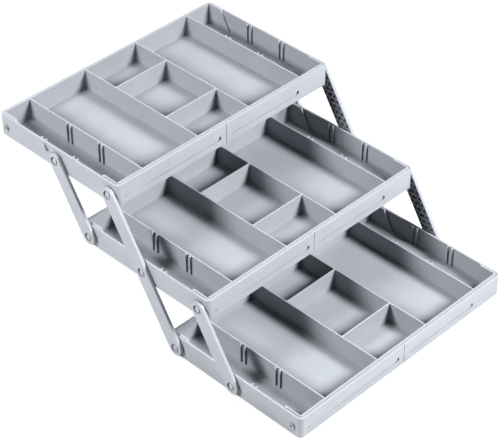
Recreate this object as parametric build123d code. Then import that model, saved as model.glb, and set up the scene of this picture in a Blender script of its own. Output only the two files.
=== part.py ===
from build123d import *
import math
import os

# Drawer organizer of three equal trays that swing out like steps, shown fully open.
# +X is the front, where the lowest tray stands out, +Y runs along the trays, +Z is up.
# The origin is the middle of the bottom tray's underside. All sizes are millimetres.

# One tray moulding, over its outside faces
tray_width = 213.6
tray_length = 355.0
tray_height = 30.6
corner_radius = 6.0
floor_thickness = 2.0
rim_step = 0.8
back_wall = 4.8
front_wall = 5.8
side_wall = 2.6
divider = 1.8
draft_deg = 0.7

# Compartments: two long dividers each side of the middle, two cross dividers between them
outer_divider_y = 132.3
inner_divider_y = 42.7
cross_divider_gap = 90.2
corner_fillet = 1.6
rim_fillet = 0.35

# Thicker ends of the short walls, where the end pivots sit
end_pad_depth = 2.9
back_pad_top = 21.5
back_pad_floor = 38.0
front_pad_start = 180.5

# Slots in the two narrow compartments for a loose partition
slot_places = (-28.0, 29.4)
slot_rib_spacing = 7.2
slot_rib_width = 1.5
slot_rib_depth = 3.0

# Long front wall: two skins with a channel between them, open below. Each skin ends in its own rim,
# and the groove between the rims turns round both front corners and ends in the front pads
front_skin = 1.8
front_channel = 2.0
channel_height = 26.0
rim_groove_depth = 0.5
rim_groove_start = 184.5
foot_fillet = 0.8

# Marks on the front wall's outer face: shallow grooves, two upright slots through the channel, seam, dimple
left_groove = (-126.0, -13.7)
right_groove = (8.3, 122.3)
groove_z = 10.8
groove_height = 2.4
hole_places = (-11.6, 123.7)
hole_width = 3.2
hole_height = 5.8
hole_z = 12.6
hole_depth = 4.6
faint_groove_end = -162.0
groove_cut = 1.1
faint_cut = 0.3
seam_y = -1.2
seam_width = 0.9
seam_cut = 0.5
dimple_y = -165.5
dimple_radius = 1.9
dimple_cut = 0.6

# Pivots: three on each short wall, equally spaced about the middle
pivot_middle_x = 0.0
pivot_spacing = 94.0
pivot_z = 14.2
collar_radius = 3.5
collar_height = 2.8
bore_radius = 2.0
bore_floor = 1.0

# Stop lug on each short wall, up and back from the middle pivot
lug_offset = 10.6
lug_width = 3.8
lug_low = 5.8
lug_high = 12.0
lug_depth = 4.0
lug_chamfer = 0.8

# Step from one tray to the next when open
step_back = 147.3
step_up = 85.75

# Link bars and their rivets
link_width = 20.5
link_thickness = 4.6
link_gap = 0.9
running_clearance = 0.05
link_web = 1.8
counterbore_radius = 6.0
edge_fillet = 1.0
lattice_skin = 1.0
lattice_border = 1.5
lattice_rib = 1.3
lattice_cells = 10
ring_radius = 7.2
shank_radius = 1.95
shank_chamfer = 0.4
rivet_gap = 0.1
flange_radius = 4.3
flange_thickness = 1.0
button_radius = 3.3
button_height = 1.4
button_fillet = 0.5

half_length = tray_length / 2
inside_back = -tray_width / 2 + back_wall
inside_front = tray_width / 2 - front_wall
inside_side = half_length - side_wall
pad_face = inside_side - end_pad_depth
body_height = tray_height - rim_step
collar_face = half_length + collar_height
bore_end = inside_side + bore_floor
link_inner = half_length + link_gap

pivot_x = {
    "back": pivot_middle_x - pivot_spacing,
    "middle": pivot_middle_x,
    "front": pivot_middle_x + pivot_spacing,
}
lean = math.degrees(math.atan2(step_back - pivot_spacing, step_up))
link_length = math.hypot(step_back - pivot_spacing, step_up)

# Place of each tray's underside centre, and the pivots that hold a link
tray_places = {
    "bottom": (0.0, 0.0),
    "middle": (-step_back, step_up),
    "top": (-2 * step_back, 2 * step_up),
}
used_pivots = {
    "bottom": ("back", "middle"),
    "middle": ("back", "middle", "front"),
    "top": ("middle", "front"),
}
sides = {"near": -1, "far": 1}


def block(x0, x1, y0, y1, z0, z1):
    """Box between two corners."""
    size = Box(x1 - x0, y1 - y0, z1 - z0, align=(Align.MIN, Align.MIN, Align.MIN))
    return Pos(x0, y0, z0) * size


def rod(radius, x, z, y0, y1):
    """Round bar along Y between two places."""
    low, high = min(y0, y1), max(y0, y1)
    middle = (low + high) / 2
    return Pos(x, middle, z) * Rot(90, 0, 0) * Cylinder(radius, high - low)


def inset_outline(inset):
    """The tray's outline, drawn in from its outer faces."""
    return RectangleRounded(tray_width - 2 * inset, tray_length - 2 * inset, corner_radius - inset)


def compartment(x0, x1, y0, y1):
    """Tool for one compartment, with drafted walls and rounded upright corners."""
    mouth = Plane((0, 0, body_height), x_dir=(1, 0, 0), z_dir=(0, 0, -1))
    outline = Pos((x0 + x1) / 2, -(y0 + y1) / 2) * RectangleRounded(x1 - x0, y1 - y0, corner_fillet)
    depth = body_height - floor_thickness
    return extrude(mouth * outline, depth, taper=draft_deg)


def compartments():
    """The seven compartments of one tray."""
    half = divider / 2
    cross = cross_divider_gap / 2
    centre_x = (inside_back + inside_front) / 2
    tools = []
    for side in (-1, 1):
        strips = [
            (outer_divider_y + half, inside_side),
            (inner_divider_y + half, outer_divider_y - half),
        ]
        for low, high in strips:
            y0, y1 = sorted((side * low, side * high))
            tools.append(compartment(inside_back, inside_front, y0, y1))
    column = inner_divider_y - half
    cells = [
        (inside_back, centre_x - cross - half),
        (centre_x - cross + half, centre_x + cross - half),
        (centre_x + cross + half, inside_front),
    ]
    for x0, x1 in cells:
        tools.append(compartment(x0, x1, -column, column))
    return tools


def raised_rim():
    """Inner rim along the back and front walls, a step higher than the outer one."""
    low = tray_height - 3 * rim_step
    core = Pos(0, 0, low) * extrude(inset_outline(front_skin), 3 * rim_step)
    back = block(-tray_width, inside_back, -inside_side, inside_side, low, tray_height)
    front = block(inside_front, tray_width, -inside_side, inside_side, low, tray_height)
    return [core & back, core & front]


def rim_groove():
    """Groove between the two rims, along the front wall and round its corners on to the pads."""
    outline = inset_outline(front_skin) - inset_outline(front_skin + front_channel)
    ring = Pos(0, 0, body_height - rim_groove_depth) * extrude(outline, rim_groove_depth + 2 * rim_step)
    start = inside_back + rim_groove_start
    return ring & block(start, tray_width, -tray_length, tray_length, 0, 2 * tray_height)


def end_pads(side):
    """Thicker wall at the back and front ends of one short side."""
    y0, y1 = sorted((side * pad_face, side * (inside_side + 0.2)))
    floor = floor_thickness - 0.2
    slanted = Polyline(
        (inside_back - 1.2, floor),
        (inside_back + back_pad_floor, floor),
        (inside_back + back_pad_top, tray_height),
        (inside_back - 1.2, tray_height),
        close=True,
    )
    outline = make_face(Plane.XZ * slanted)
    back = extrude(outline, y1 - y0, dir=(0, 1, 0)).moved(Location((0, y0, 0)))
    front_start = inside_back + front_pad_start
    front = block(front_start, inside_front + 0.2, y0, y1, floor, tray_height)
    return [back, front]


def slot_ribs(side):
    """Pairs of upright ribs on both walls of one narrow compartment."""
    ribs = []
    outer_face = side * (inside_side + 0.2)
    inner_face = side * (outer_divider_y + divider / 2 - 0.2)
    for place in slot_places:
        for offset in (-slot_rib_spacing / 2, slot_rib_spacing / 2):
            x0 = place + offset - slot_rib_width / 2
            x1 = x0 + slot_rib_width
            depth = side * (slot_rib_depth + 0.2)
            for face, reach in ((outer_face, -depth), (inner_face, depth)):
                y0, y1 = sorted((face, face + reach))
                ribs.append(block(x0, x1, y0, y1, floor_thickness - 0.2, body_height))
    return ribs


def stop_lug(side):
    """Small lug that the open link leans against, beside the middle pivot."""
    sine = math.sin(math.radians(lean))
    cosine = math.cos(math.radians(lean))
    inner, outer = lug_offset, lug_offset + lug_width
    points = []
    for offset, height in ((inner, lug_low), (inner, lug_high), (outer, lug_high), (outer, lug_low)):
        run = (height + offset * sine) / cosine
        points.append((pivot_middle_x - offset * cosine - run * sine, pivot_z + height))
    outline = make_face(Plane.XZ * Polyline(*points, close=True))
    y0 = half_length - 0.2 if side > 0 else -half_length - lug_depth
    lug = extrude(outline, lug_depth + 0.2, dir=(0, 1, 0)).moved(Location((0, y0, 0)))
    outer_face = lug.faces().sort_by(Axis.Y)[-1 if side > 0 else 0]
    return chamfer(outer_face.edges(), lug_chamfer)


def front_details():
    """Cuts in the long front wall: channel, grooves, slots, seam and dimple."""
    face = tray_width / 2
    skin_back = face - front_skin
    channel_back = skin_back - front_channel
    reach = half_length - front_wall
    cuts = [block(channel_back, skin_back, -reach, reach, 0, channel_height)]
    z0 = groove_z - groove_height / 2
    z1 = groove_z + groove_height / 2
    for y0, y1 in (left_groove, right_groove):
        cuts.append(block(face - groove_cut, face, y0, y1, z0, z1))
    cuts.append(block(face - faint_cut, face, faint_groove_end, left_groove[0], z0, z1))
    seam = Pos(face, seam_y, body_height / 2) * Box(2 * seam_cut, seam_width, body_height)
    cuts.append(seam)
    slot = Rot(0, 90, 0) * extrude(SlotOverall(hole_height, hole_width), hole_depth + 0.2)
    for y in hole_places:
        cuts.append(Pos(face - hole_depth, y, hole_z) * slot)
    dimple = Pos(face, dimple_y, groove_z) * Rot(0, 90, 0)
    cuts.append(dimple * Cylinder(dimple_radius, 2 * dimple_cut))
    return cuts


def tray():
    """One tray moulding about the middle of its underside."""
    body = extrude(inset_outline(0), body_height)
    body = fillet(body.faces().sort_by(Axis.Z)[0].edges(), foot_fillet)
    for tool in compartments():
        body -= tool
    rims = body.edges().filter_by(lambda edge: abs(edge.center().Z - body_height) < 0.01)
    body = fillet(rims, rim_fillet)
    additions = raised_rim()
    cuts = [rim_groove()] + front_details()
    for side in (-1, 1):
        additions += end_pads(side) + slot_ribs(side) + [stop_lug(side)]
        for x in pivot_x.values():
            additions.append(rod(collar_radius, x, pivot_z, side * (half_length - 0.2), side * collar_face))
            cuts.append(rod(bore_radius, x, pivot_z, side * bore_end, side * collar_face))
    for piece in additions:
        body += piece
    for tool in cuts:
        body -= tool
    return body


def rivet(side):
    """Rivet about its pivot axis: chamfered shank in a blind bore, flange and raised button."""
    shank_end = bore_end + rivet_gap
    flange_face = collar_face + flange_thickness
    button_face = flange_face + button_height
    body = rod(shank_radius, 0, 0, shank_end, collar_face)
    body = chamfer(body.faces().sort_by(Axis.Y)[0].edges(), shank_chamfer)
    button = rod(button_radius, 0, 0, flange_face - 0.2, button_face)
    button = fillet(button.faces().sort_by(Axis.Y)[-1].edges(), button_fillet)
    body += rod(flange_radius, 0, 0, collar_face, flange_face)
    body += button
    return body if side > 0 else mirror(body, Plane.XZ)


def lattice(length):
    """Crossed-rib pockets of one stretch of a link, drawn between its two pivots."""
    width = link_width - 2 * lattice_border
    start = ring_radius
    run = length - 2 * ring_radius
    cell = run / lattice_cells
    area = Pos(0, length / 2) * Rectangle(width, run)
    slope = math.degrees(math.atan2(cell, width))
    reach = math.hypot(cell, width) + 2 * lattice_rib
    for number in range(lattice_cells):
        middle = start + cell * (number + 0.5)
        for turn in (slope, -slope):
            area -= Pos(0, middle) * Rot(0, 0, turn) * Rectangle(reach, lattice_rib)
    for end in (0, length):
        area -= Pos(0, end) * Circle(ring_radius)
    return area


def link(spans, side):
    """Flat link bar with one more pivot hole than it has spans, leaning as when open."""
    total = spans * link_length
    outline = Pos(0, total / 2) * Rectangle(link_width, total)
    outline += Circle(link_width / 2)
    outline += Pos(0, total) * Circle(link_width / 2)
    bar = extrude(outline, link_thickness)
    faces = bar.faces().sort_by(Axis.Z)
    bar = fillet(faces[0].edges() + faces[-1].edges(), edge_fillet)
    for number in range(spans):
        pockets = Pos(0, number * link_length) * lattice(link_length)
        bar -= extrude(pockets, link_thickness - lattice_skin)
    for number in range(spans + 1):
        y = number * link_length
        hole = Cylinder(collar_radius + running_clearance, 3 * link_thickness)
        counterbore = Cylinder(counterbore_radius, link_thickness)
        bar -= Pos(0, y, 0) * hole
        bar -= Pos(0, y, link_web + link_thickness / 2) * counterbore
    upright = Rot(90, 0, 0) * bar
    if side > 0:
        upright = mirror(upright, Plane.XZ)
    placed = Rot(0, -lean, 0) * upright
    return Pos(0, side * link_inner, 0) * placed


def save(shape, name):
    """Write one named piece."""
    export_step(shape, "parts/" + name + ".step")


def build():
    """Place and write every piece of the open organizer."""
    os.makedirs("parts", exist_ok=True)
    moulding = tray()
    for level, (x, z) in tray_places.items():
        save(Pos(x, 0, z) * moulding, level + "_tray")
    for side_name, side in sides.items():
        fastener = rivet(side)
        for level, (x, z) in tray_places.items():
            for pivot in used_pivots[level]:
                place = Pos(x + pivot_x[pivot], 0, z + pivot_z)
                save(place * fastener, "_".join((level, pivot, "rivet", side_name)))
        starts = {
            "long_link": ("bottom", "back", 2),
            "front_link": ("bottom", "middle", 1),
            "rear_link": ("middle", "back", 1),
        }
        for name, (level, pivot, spans) in starts.items():
            x, z = tray_places[level]
            bar = Pos(x + pivot_x[pivot], 0, z + pivot_z) * link(spans, side)
            save(bar, side_name + "_" + name)


build()
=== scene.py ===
import math
import bpy
from mathutils import Matrix, Vector


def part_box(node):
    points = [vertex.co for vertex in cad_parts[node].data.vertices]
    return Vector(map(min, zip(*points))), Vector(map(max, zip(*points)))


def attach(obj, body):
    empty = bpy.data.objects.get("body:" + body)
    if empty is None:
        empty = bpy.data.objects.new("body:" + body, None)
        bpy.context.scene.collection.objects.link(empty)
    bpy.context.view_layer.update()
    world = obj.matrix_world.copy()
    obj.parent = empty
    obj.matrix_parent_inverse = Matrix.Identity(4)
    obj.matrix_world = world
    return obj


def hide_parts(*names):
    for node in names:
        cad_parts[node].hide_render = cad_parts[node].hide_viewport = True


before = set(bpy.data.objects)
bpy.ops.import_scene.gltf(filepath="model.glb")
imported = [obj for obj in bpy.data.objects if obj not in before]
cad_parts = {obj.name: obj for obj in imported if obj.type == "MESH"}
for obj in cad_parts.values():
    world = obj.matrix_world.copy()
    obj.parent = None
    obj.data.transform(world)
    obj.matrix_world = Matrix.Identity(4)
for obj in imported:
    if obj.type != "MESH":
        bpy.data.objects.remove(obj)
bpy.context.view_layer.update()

mm = 0.001

# Trays
# Three identical shallow trays, each one shot of pale grey-white polypropylene from a steel mould.
# The mould was spark-eroded, so the faces are satin. The rims carry a painted highlight: they are coloured
# paler than the faces.
tray_nodes = ("bottom_tray", "middle_tray", "top_tray")
tray_colour = "#C1C6CE"
tray_colour_thick = "#BABFC8"
# Paler colour painted on the tray rims as a painted highlight.
rim_highlight_colour = "#C9CDD5"
rim_starts = 29.3 * mm
tray_step = 85.75 * mm
tray_gloss = 0.40
grain_size = 0.9 * mm
grain_depth = 0.04 * mm
grain_strength = 0.18
flow_mark_size = 46 * mm
flow_mark_span = (0.3, 0.7)
gloss_spread = 0.12
plastic_ior = 1.49
bounce_keeps = 0.33


def linear(hex_colour):
    """sRGB hex to the linear colour that a shader socket takes."""
    channels = [int(hex_colour[place:place + 2], 16) / 255 for place in (1, 3, 5)]
    return [c / 12.92 if c <= 0.04045 else ((c + 0.055) / 1.055) ** 2.4 for c in channels] + [1.0]


def add(tree, kind, settings=(), inputs=(), links=()):
    """Add a node with its settings, its input values and its incoming links."""
    node = tree.nodes.new(kind)
    for name, value in dict(settings).items():
        setattr(node, name, value)
    for name, value in dict(inputs).items():
        node.inputs[name].default_value = value
    for name, source in dict(links).items():
        tree.links.new(source, node.inputs[name])
    return node


def moulded_plastic(name, pale, deep, gloss, rim_highlight=None):
    """Satin moulded plastic: soft flow marks, a fine eroded grain and, on a tray, a painted highlight that
    colours the rims paler.

    Light that has already bounced off something diffuse meets a darker colour, which deepens the shade in the
    compartments.
    """
    material = bpy.data.materials.new(name)
    material.use_nodes = True
    tree = material.node_tree
    tree.nodes.clear()
    place = add(tree, "ShaderNodeTexCoord").outputs["Object"]
    flow_values = {"Scale": 1 / flow_mark_size, "Detail": 3.0, "Roughness": 0.55}
    flow = add(tree, "ShaderNodeTexNoise", {}, flow_values, {"Vector": place}).outputs["Fac"]
    speckle_values = {"Scale": 1 / grain_size, "Detail": 2.0, "Roughness": 0.6}
    speckle = add(tree, "ShaderNodeTexNoise", {}, speckle_values, {"Vector": place}).outputs["Fac"]
    tint = add(tree, "ShaderNodeValToRGB", {}, {}, {"Fac": flow})
    for stop, position, colour in zip(tint.color_ramp.elements, flow_mark_span, (deep, pale)):
        stop.position = position
        stop.color = linear(colour)
    colour = tint.outputs["Color"]
    # Painted highlight: above rim_starts in each tray's height the colour turns to the paler rim colour.
    if rim_highlight:
        height = add(tree, "ShaderNodeSeparateXYZ", {}, {}, {"Vector": place}).outputs["Z"]
        above_underside = add(tree, "ShaderNodeMath", {"operation": "FLOORED_MODULO"}, {1: tray_step},
                              {0: height})
        painted_highlight_mask = add(tree, "ShaderNodeMath", {"operation": "GREATER_THAN"}, {1: rim_starts},
                     {0: above_underside.outputs["Value"]})
        painted_highlight = add(tree, "ShaderNodeMixRGB", {}, {"Color2": linear(rim_highlight)},
                   {"Fac": painted_highlight_mask.outputs["Value"], "Color1": colour})
        colour = painted_highlight.outputs["Color"]
    bounced = add(tree, "ShaderNodeLightPath").outputs["Is Diffuse Ray"]
    kept = (bounce_keeps, bounce_keeps, bounce_keeps, 1.0)
    deepened = add(tree, "ShaderNodeMixRGB", {"blend_type": "MULTIPLY"}, {"Color2": kept},
                   {"Fac": bounced, "Color1": colour})
    sheen = add(tree, "ShaderNodeMapRange", {}, {"To Min": gloss, "To Max": gloss + gloss_spread},
                {"Value": flow})
    grain = add(tree, "ShaderNodeBump", {}, {"Strength": grain_strength, "Distance": grain_depth},
                {"Height": speckle})
    shader = add(tree, "ShaderNodeBsdfPrincipled", {}, {"IOR": plastic_ior},
                 {"Base Color": deepened.outputs["Color"], "Roughness": sheen.outputs["Result"],
                  "Normal": grain.outputs["Normal"]})
    add(tree, "ShaderNodeOutputMaterial", {}, {}, {"Surface": shader.outputs["BSDF"]})
    return material


tray_plastic = moulded_plastic("polypropylene_satin_tray", tray_colour, tray_colour_thick, tray_gloss,
                               rim_highlight_colour)
for node in tray_nodes:
    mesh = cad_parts[node].data
    mesh.materials.clear()
    mesh.materials.append(tray_plastic)

# Link bars
# Six flat bars that carry the trays, smooth outside and cored inside with crossed ribs, so they mould without
# sinks. They come from their own mould in the same plastic, a little glossier than the trays.
link_colour = "#C4C9D1"
link_colour_thick = "#BDC2CB"
link_gloss = 0.36
link_plastic = moulded_plastic("polypropylene_satin_link", link_colour, link_colour_thick, link_gloss)
for node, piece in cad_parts.items():
    if node.endswith("_link"):
        piece.data.materials.clear()
        piece.data.materials.append(link_plastic)

# Rivets
# One rivet at each working pivot: its shank fills the collar's blind bore and its flange holds the link on.
# They are moulded in acetal, a shade whiter than the trays, and the gate leaves a small pit in each button.
rivet_colour = "#CDD1D8"
rivet_colour_thick = "#C6CAD2"
rivet_gloss = 0.30
rivet_sizes = {
    "Gate Radius": 0.7 * mm,
    "Button Radius": 3.3 * mm,
    "Flange Radius": 4.3 * mm,
    "Shank Radius": 1.95 * mm,
    "Gate Floor": 2.15 * mm,
    "Button Top": 2.4 * mm,
    "Flange Top": 1.0 * mm,
    "Shank End": -4.3 * mm,
    "Edge Round": 0.35 * mm,
}
outline_corners = 10
round_steps = 3
spindle_radius = 1.0 * mm
turned_sides = 48
weld_distance = 0.001 * mm


def rivet_tree():
    """Geometry Nodes tree that turns one rivet's outline and stands a rivet on every pivot point."""
    tree = bpy.data.node_groups.new("turned_rivets", "GeometryNodeTree")
    tree.interface.new_socket("Pivots", in_out="INPUT", socket_type="NodeSocketGeometry")
    for name in rivet_sizes:
        tree.interface.new_socket(name, in_out="INPUT", socket_type="NodeSocketFloat")
    tree.interface.new_socket("Plastic", in_out="INPUT", socket_type="NodeSocketMaterial")
    tree.interface.new_socket("Rivets", in_out="OUTPUT", socket_type="NodeSocketGeometry")
    given = add(tree, "NodeGroupInput").outputs
    number = add(tree, "GeometryNodeInputIndex").outputs["Index"]

    def chosen(shift, names):
        """Value by half the point's number, so that each value serves two points in a row."""
        moved = add(tree, "FunctionNodeIntegerMath", {"operation": "ADD"}, {1: shift}, {0: number})
        halved = add(tree, "FunctionNodeIntegerMath", {"operation": "DIVIDE_FLOOR"}, {1: 2},
                     {0: moved.outputs[0]})
        switch = add(tree, "GeometryNodeIndexSwitch", {"data_type": "FLOAT"}, {},
                     {"Index": halved.outputs[0]})
        while len(switch.index_switch_items) < len(names):
            switch.index_switch_items.new()
        for place, name in enumerate(names):
            if name:
                tree.links.new(given[name], switch.inputs[place + 1])
        return switch.outputs[0]

    radius = chosen(1, [None, "Gate Radius", "Button Radius", "Flange Radius", "Shank Radius", None])
    height = chosen(0, ["Gate Floor", "Button Top", "Flange Top", None, "Shank End"])
    from_spindle = add(tree, "ShaderNodeMath", {"operation": "SUBTRACT"}, {1: spindle_radius}, {0: radius})
    downwards = add(tree, "ShaderNodeMath", {"operation": "MULTIPLY"}, {1: -1.0}, {0: height})
    corner = add(tree, "ShaderNodeCombineXYZ", {}, {},
                 {"X": from_spindle.outputs[0], "Y": downwards.outputs[0]})
    line = add(tree, "GeometryNodeMeshLine", {}, {"Count": outline_corners})
    outline = add(tree, "GeometryNodeSetPosition", {}, {},
                  {"Geometry": line.outputs["Mesh"], "Position": corner.outputs["Vector"]})
    profile = add(tree, "GeometryNodeMeshToCurve", {}, {}, {"Mesh": outline.outputs["Geometry"]})
    rounded = add(tree, "GeometryNodeFilletCurve", {"mode": "POLY"},
                  {"Limit Radius": True, "Count": round_steps},
                  {"Curve": profile.outputs["Curve"], "Radius": given["Edge Round"]})
    spindle = add(tree, "GeometryNodeCurvePrimitiveCircle", {},
                  {"Resolution": turned_sides, "Radius": spindle_radius})
    turned = add(tree, "GeometryNodeCurveToMesh", {}, {},
                 {"Curve": spindle.outputs["Curve"], "Profile Curve": rounded.outputs["Curve"]})
    closed = add(tree, "GeometryNodeMergeByDistance", {}, {"Distance": weld_distance},
                 {"Geometry": turned.outputs["Mesh"]})
    place = add(tree, "GeometryNodeInputPosition").outputs["Position"]
    side = add(tree, "ShaderNodeSeparateXYZ", {}, {}, {"Vector": place}).outputs["Y"]
    outwards = add(tree, "ShaderNodeMath", {"operation": "SIGN"}, {}, {0: side})
    lean = add(tree, "ShaderNodeMath", {"operation": "MULTIPLY"}, {1: -math.pi / 2}, {0: outwards.outputs[0]})
    turn = add(tree, "ShaderNodeCombineXYZ", {}, {}, {"X": lean.outputs[0]})
    stood = add(tree, "GeometryNodeInstanceOnPoints", {}, {},
                {"Points": given["Pivots"], "Instance": closed.outputs["Geometry"],
                 "Rotation": turn.outputs["Vector"]})
    real = add(tree, "GeometryNodeRealizeInstances", {}, {}, {"Geometry": stood.outputs["Instances"]})
    smooth = add(tree, "GeometryNodeSetShadeSmooth", {}, {}, {"Geometry": real.outputs["Geometry"]})
    dressed = add(tree, "GeometryNodeSetMaterial", {}, {},
                  {"Geometry": smooth.outputs["Geometry"], "Material": given["Plastic"]})
    add(tree, "NodeGroupOutput", {}, {}, {"Rivets": dressed.outputs["Geometry"]})
    return tree


def pivot_point(node):
    """Centre of the collar's face under one rivet of the frame."""
    low, high = (Vector(corner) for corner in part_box(node))
    middle = (low + high) / 2
    outer = max(abs(low.y), abs(high.y)) - rivet_sizes["Button Top"]
    return middle.x, math.copysign(outer, middle.y), middle.z


rivet_plastic = moulded_plastic("acetal_satin_rivet", rivet_colour, rivet_colour_thick, rivet_gloss)
turning = rivet_tree()
for body in tray_nodes:
    level = body.split("_")[0]
    nodes = [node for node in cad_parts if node.startswith(level) and "_rivet_" in node]
    points = bpy.data.meshes.new(level + "_pivots")
    points.from_pydata([pivot_point(node) for node in nodes], [], [])
    blank = bpy.data.objects.new(level + "_pivots", points)
    bpy.context.scene.collection.objects.link(blank)
    maker = blank.modifiers.new("turned_rivets", "NODES")
    maker.node_group = turning
    for socket in turning.interface.items_tree:
        if socket.name in rivet_sizes:
            maker[socket.identifier] = rivet_sizes[socket.name]
        elif socket.name == "Plastic":
            maker[socket.identifier] = rivet_plastic
    evaluated = blank.evaluated_get(bpy.context.evaluated_depsgraph_get())
    mesh = bpy.data.meshes.new_from_object(evaluated)
    mesh.name = level + "_rivets"
    # Set Material adds its slot behind an empty one.
    mesh.materials.pop(index=0)
    bpy.data.objects.remove(blank)
    rivets = bpy.data.objects.new(level + "_rivets", mesh)
    bpy.context.scene.collection.objects.link(rivets)
    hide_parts(*nodes)
    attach(rivets, body)

# Floor
# A flat white floor under the organizer, bright to the camera and still holding its shadow.
# Its lift to white grows with the distance from the organizer, so that no edge shows against the white room.
floor_size = 12.0
floor_paper = "#D2D2D2"
shadow_lift = 0.6
shadow_reach = 0.45
sweep_reach = 1.6


def white_sweep():
    """White floor: plain diffuse for every bounce, lifted to white where the camera looks at it."""
    material = bpy.data.materials.new("white_paper_sweep")
    material.use_nodes = True
    tree = material.node_tree
    tree.nodes.clear()
    paper = add(tree, "ShaderNodeBsdfDiffuse", {}, {"Color": linear(floor_paper)})
    place = add(tree, "ShaderNodeTexCoord").outputs["Object"]
    distance = add(tree, "ShaderNodeVectorMath", {"operation": "LENGTH"}, {}, {"Vector": place})
    reach = add(tree, "ShaderNodeMapRange", {"interpolation_type": "SMOOTHSTEP"},
                {"From Min": shadow_reach, "From Max": sweep_reach, "To Min": shadow_lift, "To Max": 1.0},
                {"Value": distance.outputs["Value"]})
    lift = add(tree, "ShaderNodeEmission", {}, {"Color": (1, 1, 1, 1)}, {"Strength": reach.outputs["Result"]})
    lifted = add(tree, "ShaderNodeAddShader", {}, {}, {0: paper.outputs["BSDF"], 1: lift.outputs["Emission"]})
    seen = add(tree, "ShaderNodeLightPath").outputs["Is Camera Ray"]
    mixed = add(tree, "ShaderNodeMixShader", {}, {},
                {0: seen, 1: paper.outputs["BSDF"], 2: lifted.outputs["Shader"]})
    add(tree, "ShaderNodeOutputMaterial", {}, {}, {"Surface": mixed.outputs["Shader"]})
    return material


floor_mesh = bpy.data.meshes.new("floor")
half = floor_size / 2
corners = [(-half, -half, 0), (half, -half, 0), (half, half, 0), (-half, half, 0)]
floor_mesh.from_pydata(corners, [], [(0, 1, 2, 3)])
floor_mesh.materials.append(white_sweep())
floor = bpy.data.objects.new("floor", floor_mesh)
bpy.context.scene.collection.objects.link(floor)

# Studio light
# Four softboxes: a key in front of the far corner and a weaker one behind the near corner cross their light,
# so every wall shades one side of its compartments. Two faint ones lift the shade: one behind the organizer
# on the back walls, one overhead on the floors.
room_level = 0.0
light_aim = Vector((-0.147, 0, 0.1))


def softbox(name, azimuth, elevation, distance, size, power):
    """Square area lamp aimed at the middle of the object. Azimuth 0 is on the +X side, 90 on the +Y side."""
    lamp = bpy.data.lights.new(name, "AREA")
    lamp.shape = "SQUARE"
    lamp.size = size
    lamp.energy = power
    piece = bpy.data.objects.new(name, lamp)
    bpy.context.scene.collection.objects.link(piece)
    turn, rise = math.radians(azimuth), math.radians(elevation)
    direction = Vector((math.cos(turn) * math.cos(rise), math.sin(turn) * math.cos(rise), math.sin(rise)))
    piece.location = light_aim + direction * distance
    piece.rotation_euler = direction.to_track_quat("Z", "Y").to_euler()


softbox("key_softbox", azimuth=22, elevation=36.5, distance=2.1, size=0.55, power=53.5)
softbox("back_softbox", azimuth=253, elevation=37.5, distance=2.0, size=0.55, power=31)
softbox("rear_softbox", azimuth=165, elevation=25, distance=2.5, size=1.2, power=13)
softbox("top_softbox", azimuth=0, elevation=90, distance=2.5, size=2.0, power=4)

# The room is white to the camera and gives no light of its own.
world = bpy.data.worlds.new("studio")
bpy.context.scene.world = world
world.use_nodes = True
sky = world.node_tree
sky.nodes.clear()
room = add(sky, "ShaderNodeBackground", {}, {"Color": (1, 1, 1, 1), "Strength": room_level})
bright = add(sky, "ShaderNodeBackground", {}, {"Color": (1, 1, 1, 1), "Strength": 1.0})
seen = add(sky, "ShaderNodeLightPath").outputs["Is Camera Ray"]
blend = add(sky, "ShaderNodeMixShader", {}, {},
            {0: seen, 1: room.outputs["Background"], 2: bright.outputs["Background"]})
add(sky, "ShaderNodeOutputWorld", {}, {}, {"Surface": blend.outputs["Shader"]})
bpy.context.scene.view_settings.view_transform = "Standard"

# Camera
# A long lens at the open side, looking down on the corner between the front and the near short side.
# Its place, angles and shift are the ones at which the trays' corners and pivots fall where they should.
camera_place = Vector((1102.4, -1240.2, 1481.2)) * mm
camera_azimuth = 45.03
camera_elevation = 38.70
camera_roll = -0.46
lens_mm = 131.4
sensor_mm = 36.0
shift_right = -0.0126
shift_up = 0.0066
far_clip = 50

camera_data = bpy.data.cameras.new("camera")
camera_data.lens = lens_mm
camera_data.sensor_width = sensor_mm
camera_data.sensor_fit = "HORIZONTAL"
camera_data.shift_x = shift_right
camera_data.shift_y = shift_up
camera_data.clip_end = far_clip
camera = bpy.data.objects.new("camera", camera_data)
bpy.context.scene.collection.objects.link(camera)
camera.matrix_world = (
    Matrix.Translation(camera_place)
    @ Matrix.Rotation(math.radians(camera_azimuth), 4, "Z")
    @ Matrix.Rotation(math.radians(90 - camera_elevation), 4, "X")
    @ Matrix.Rotation(math.radians(camera_roll), 4, "Z")
)
bpy.context.scene.camera = camera
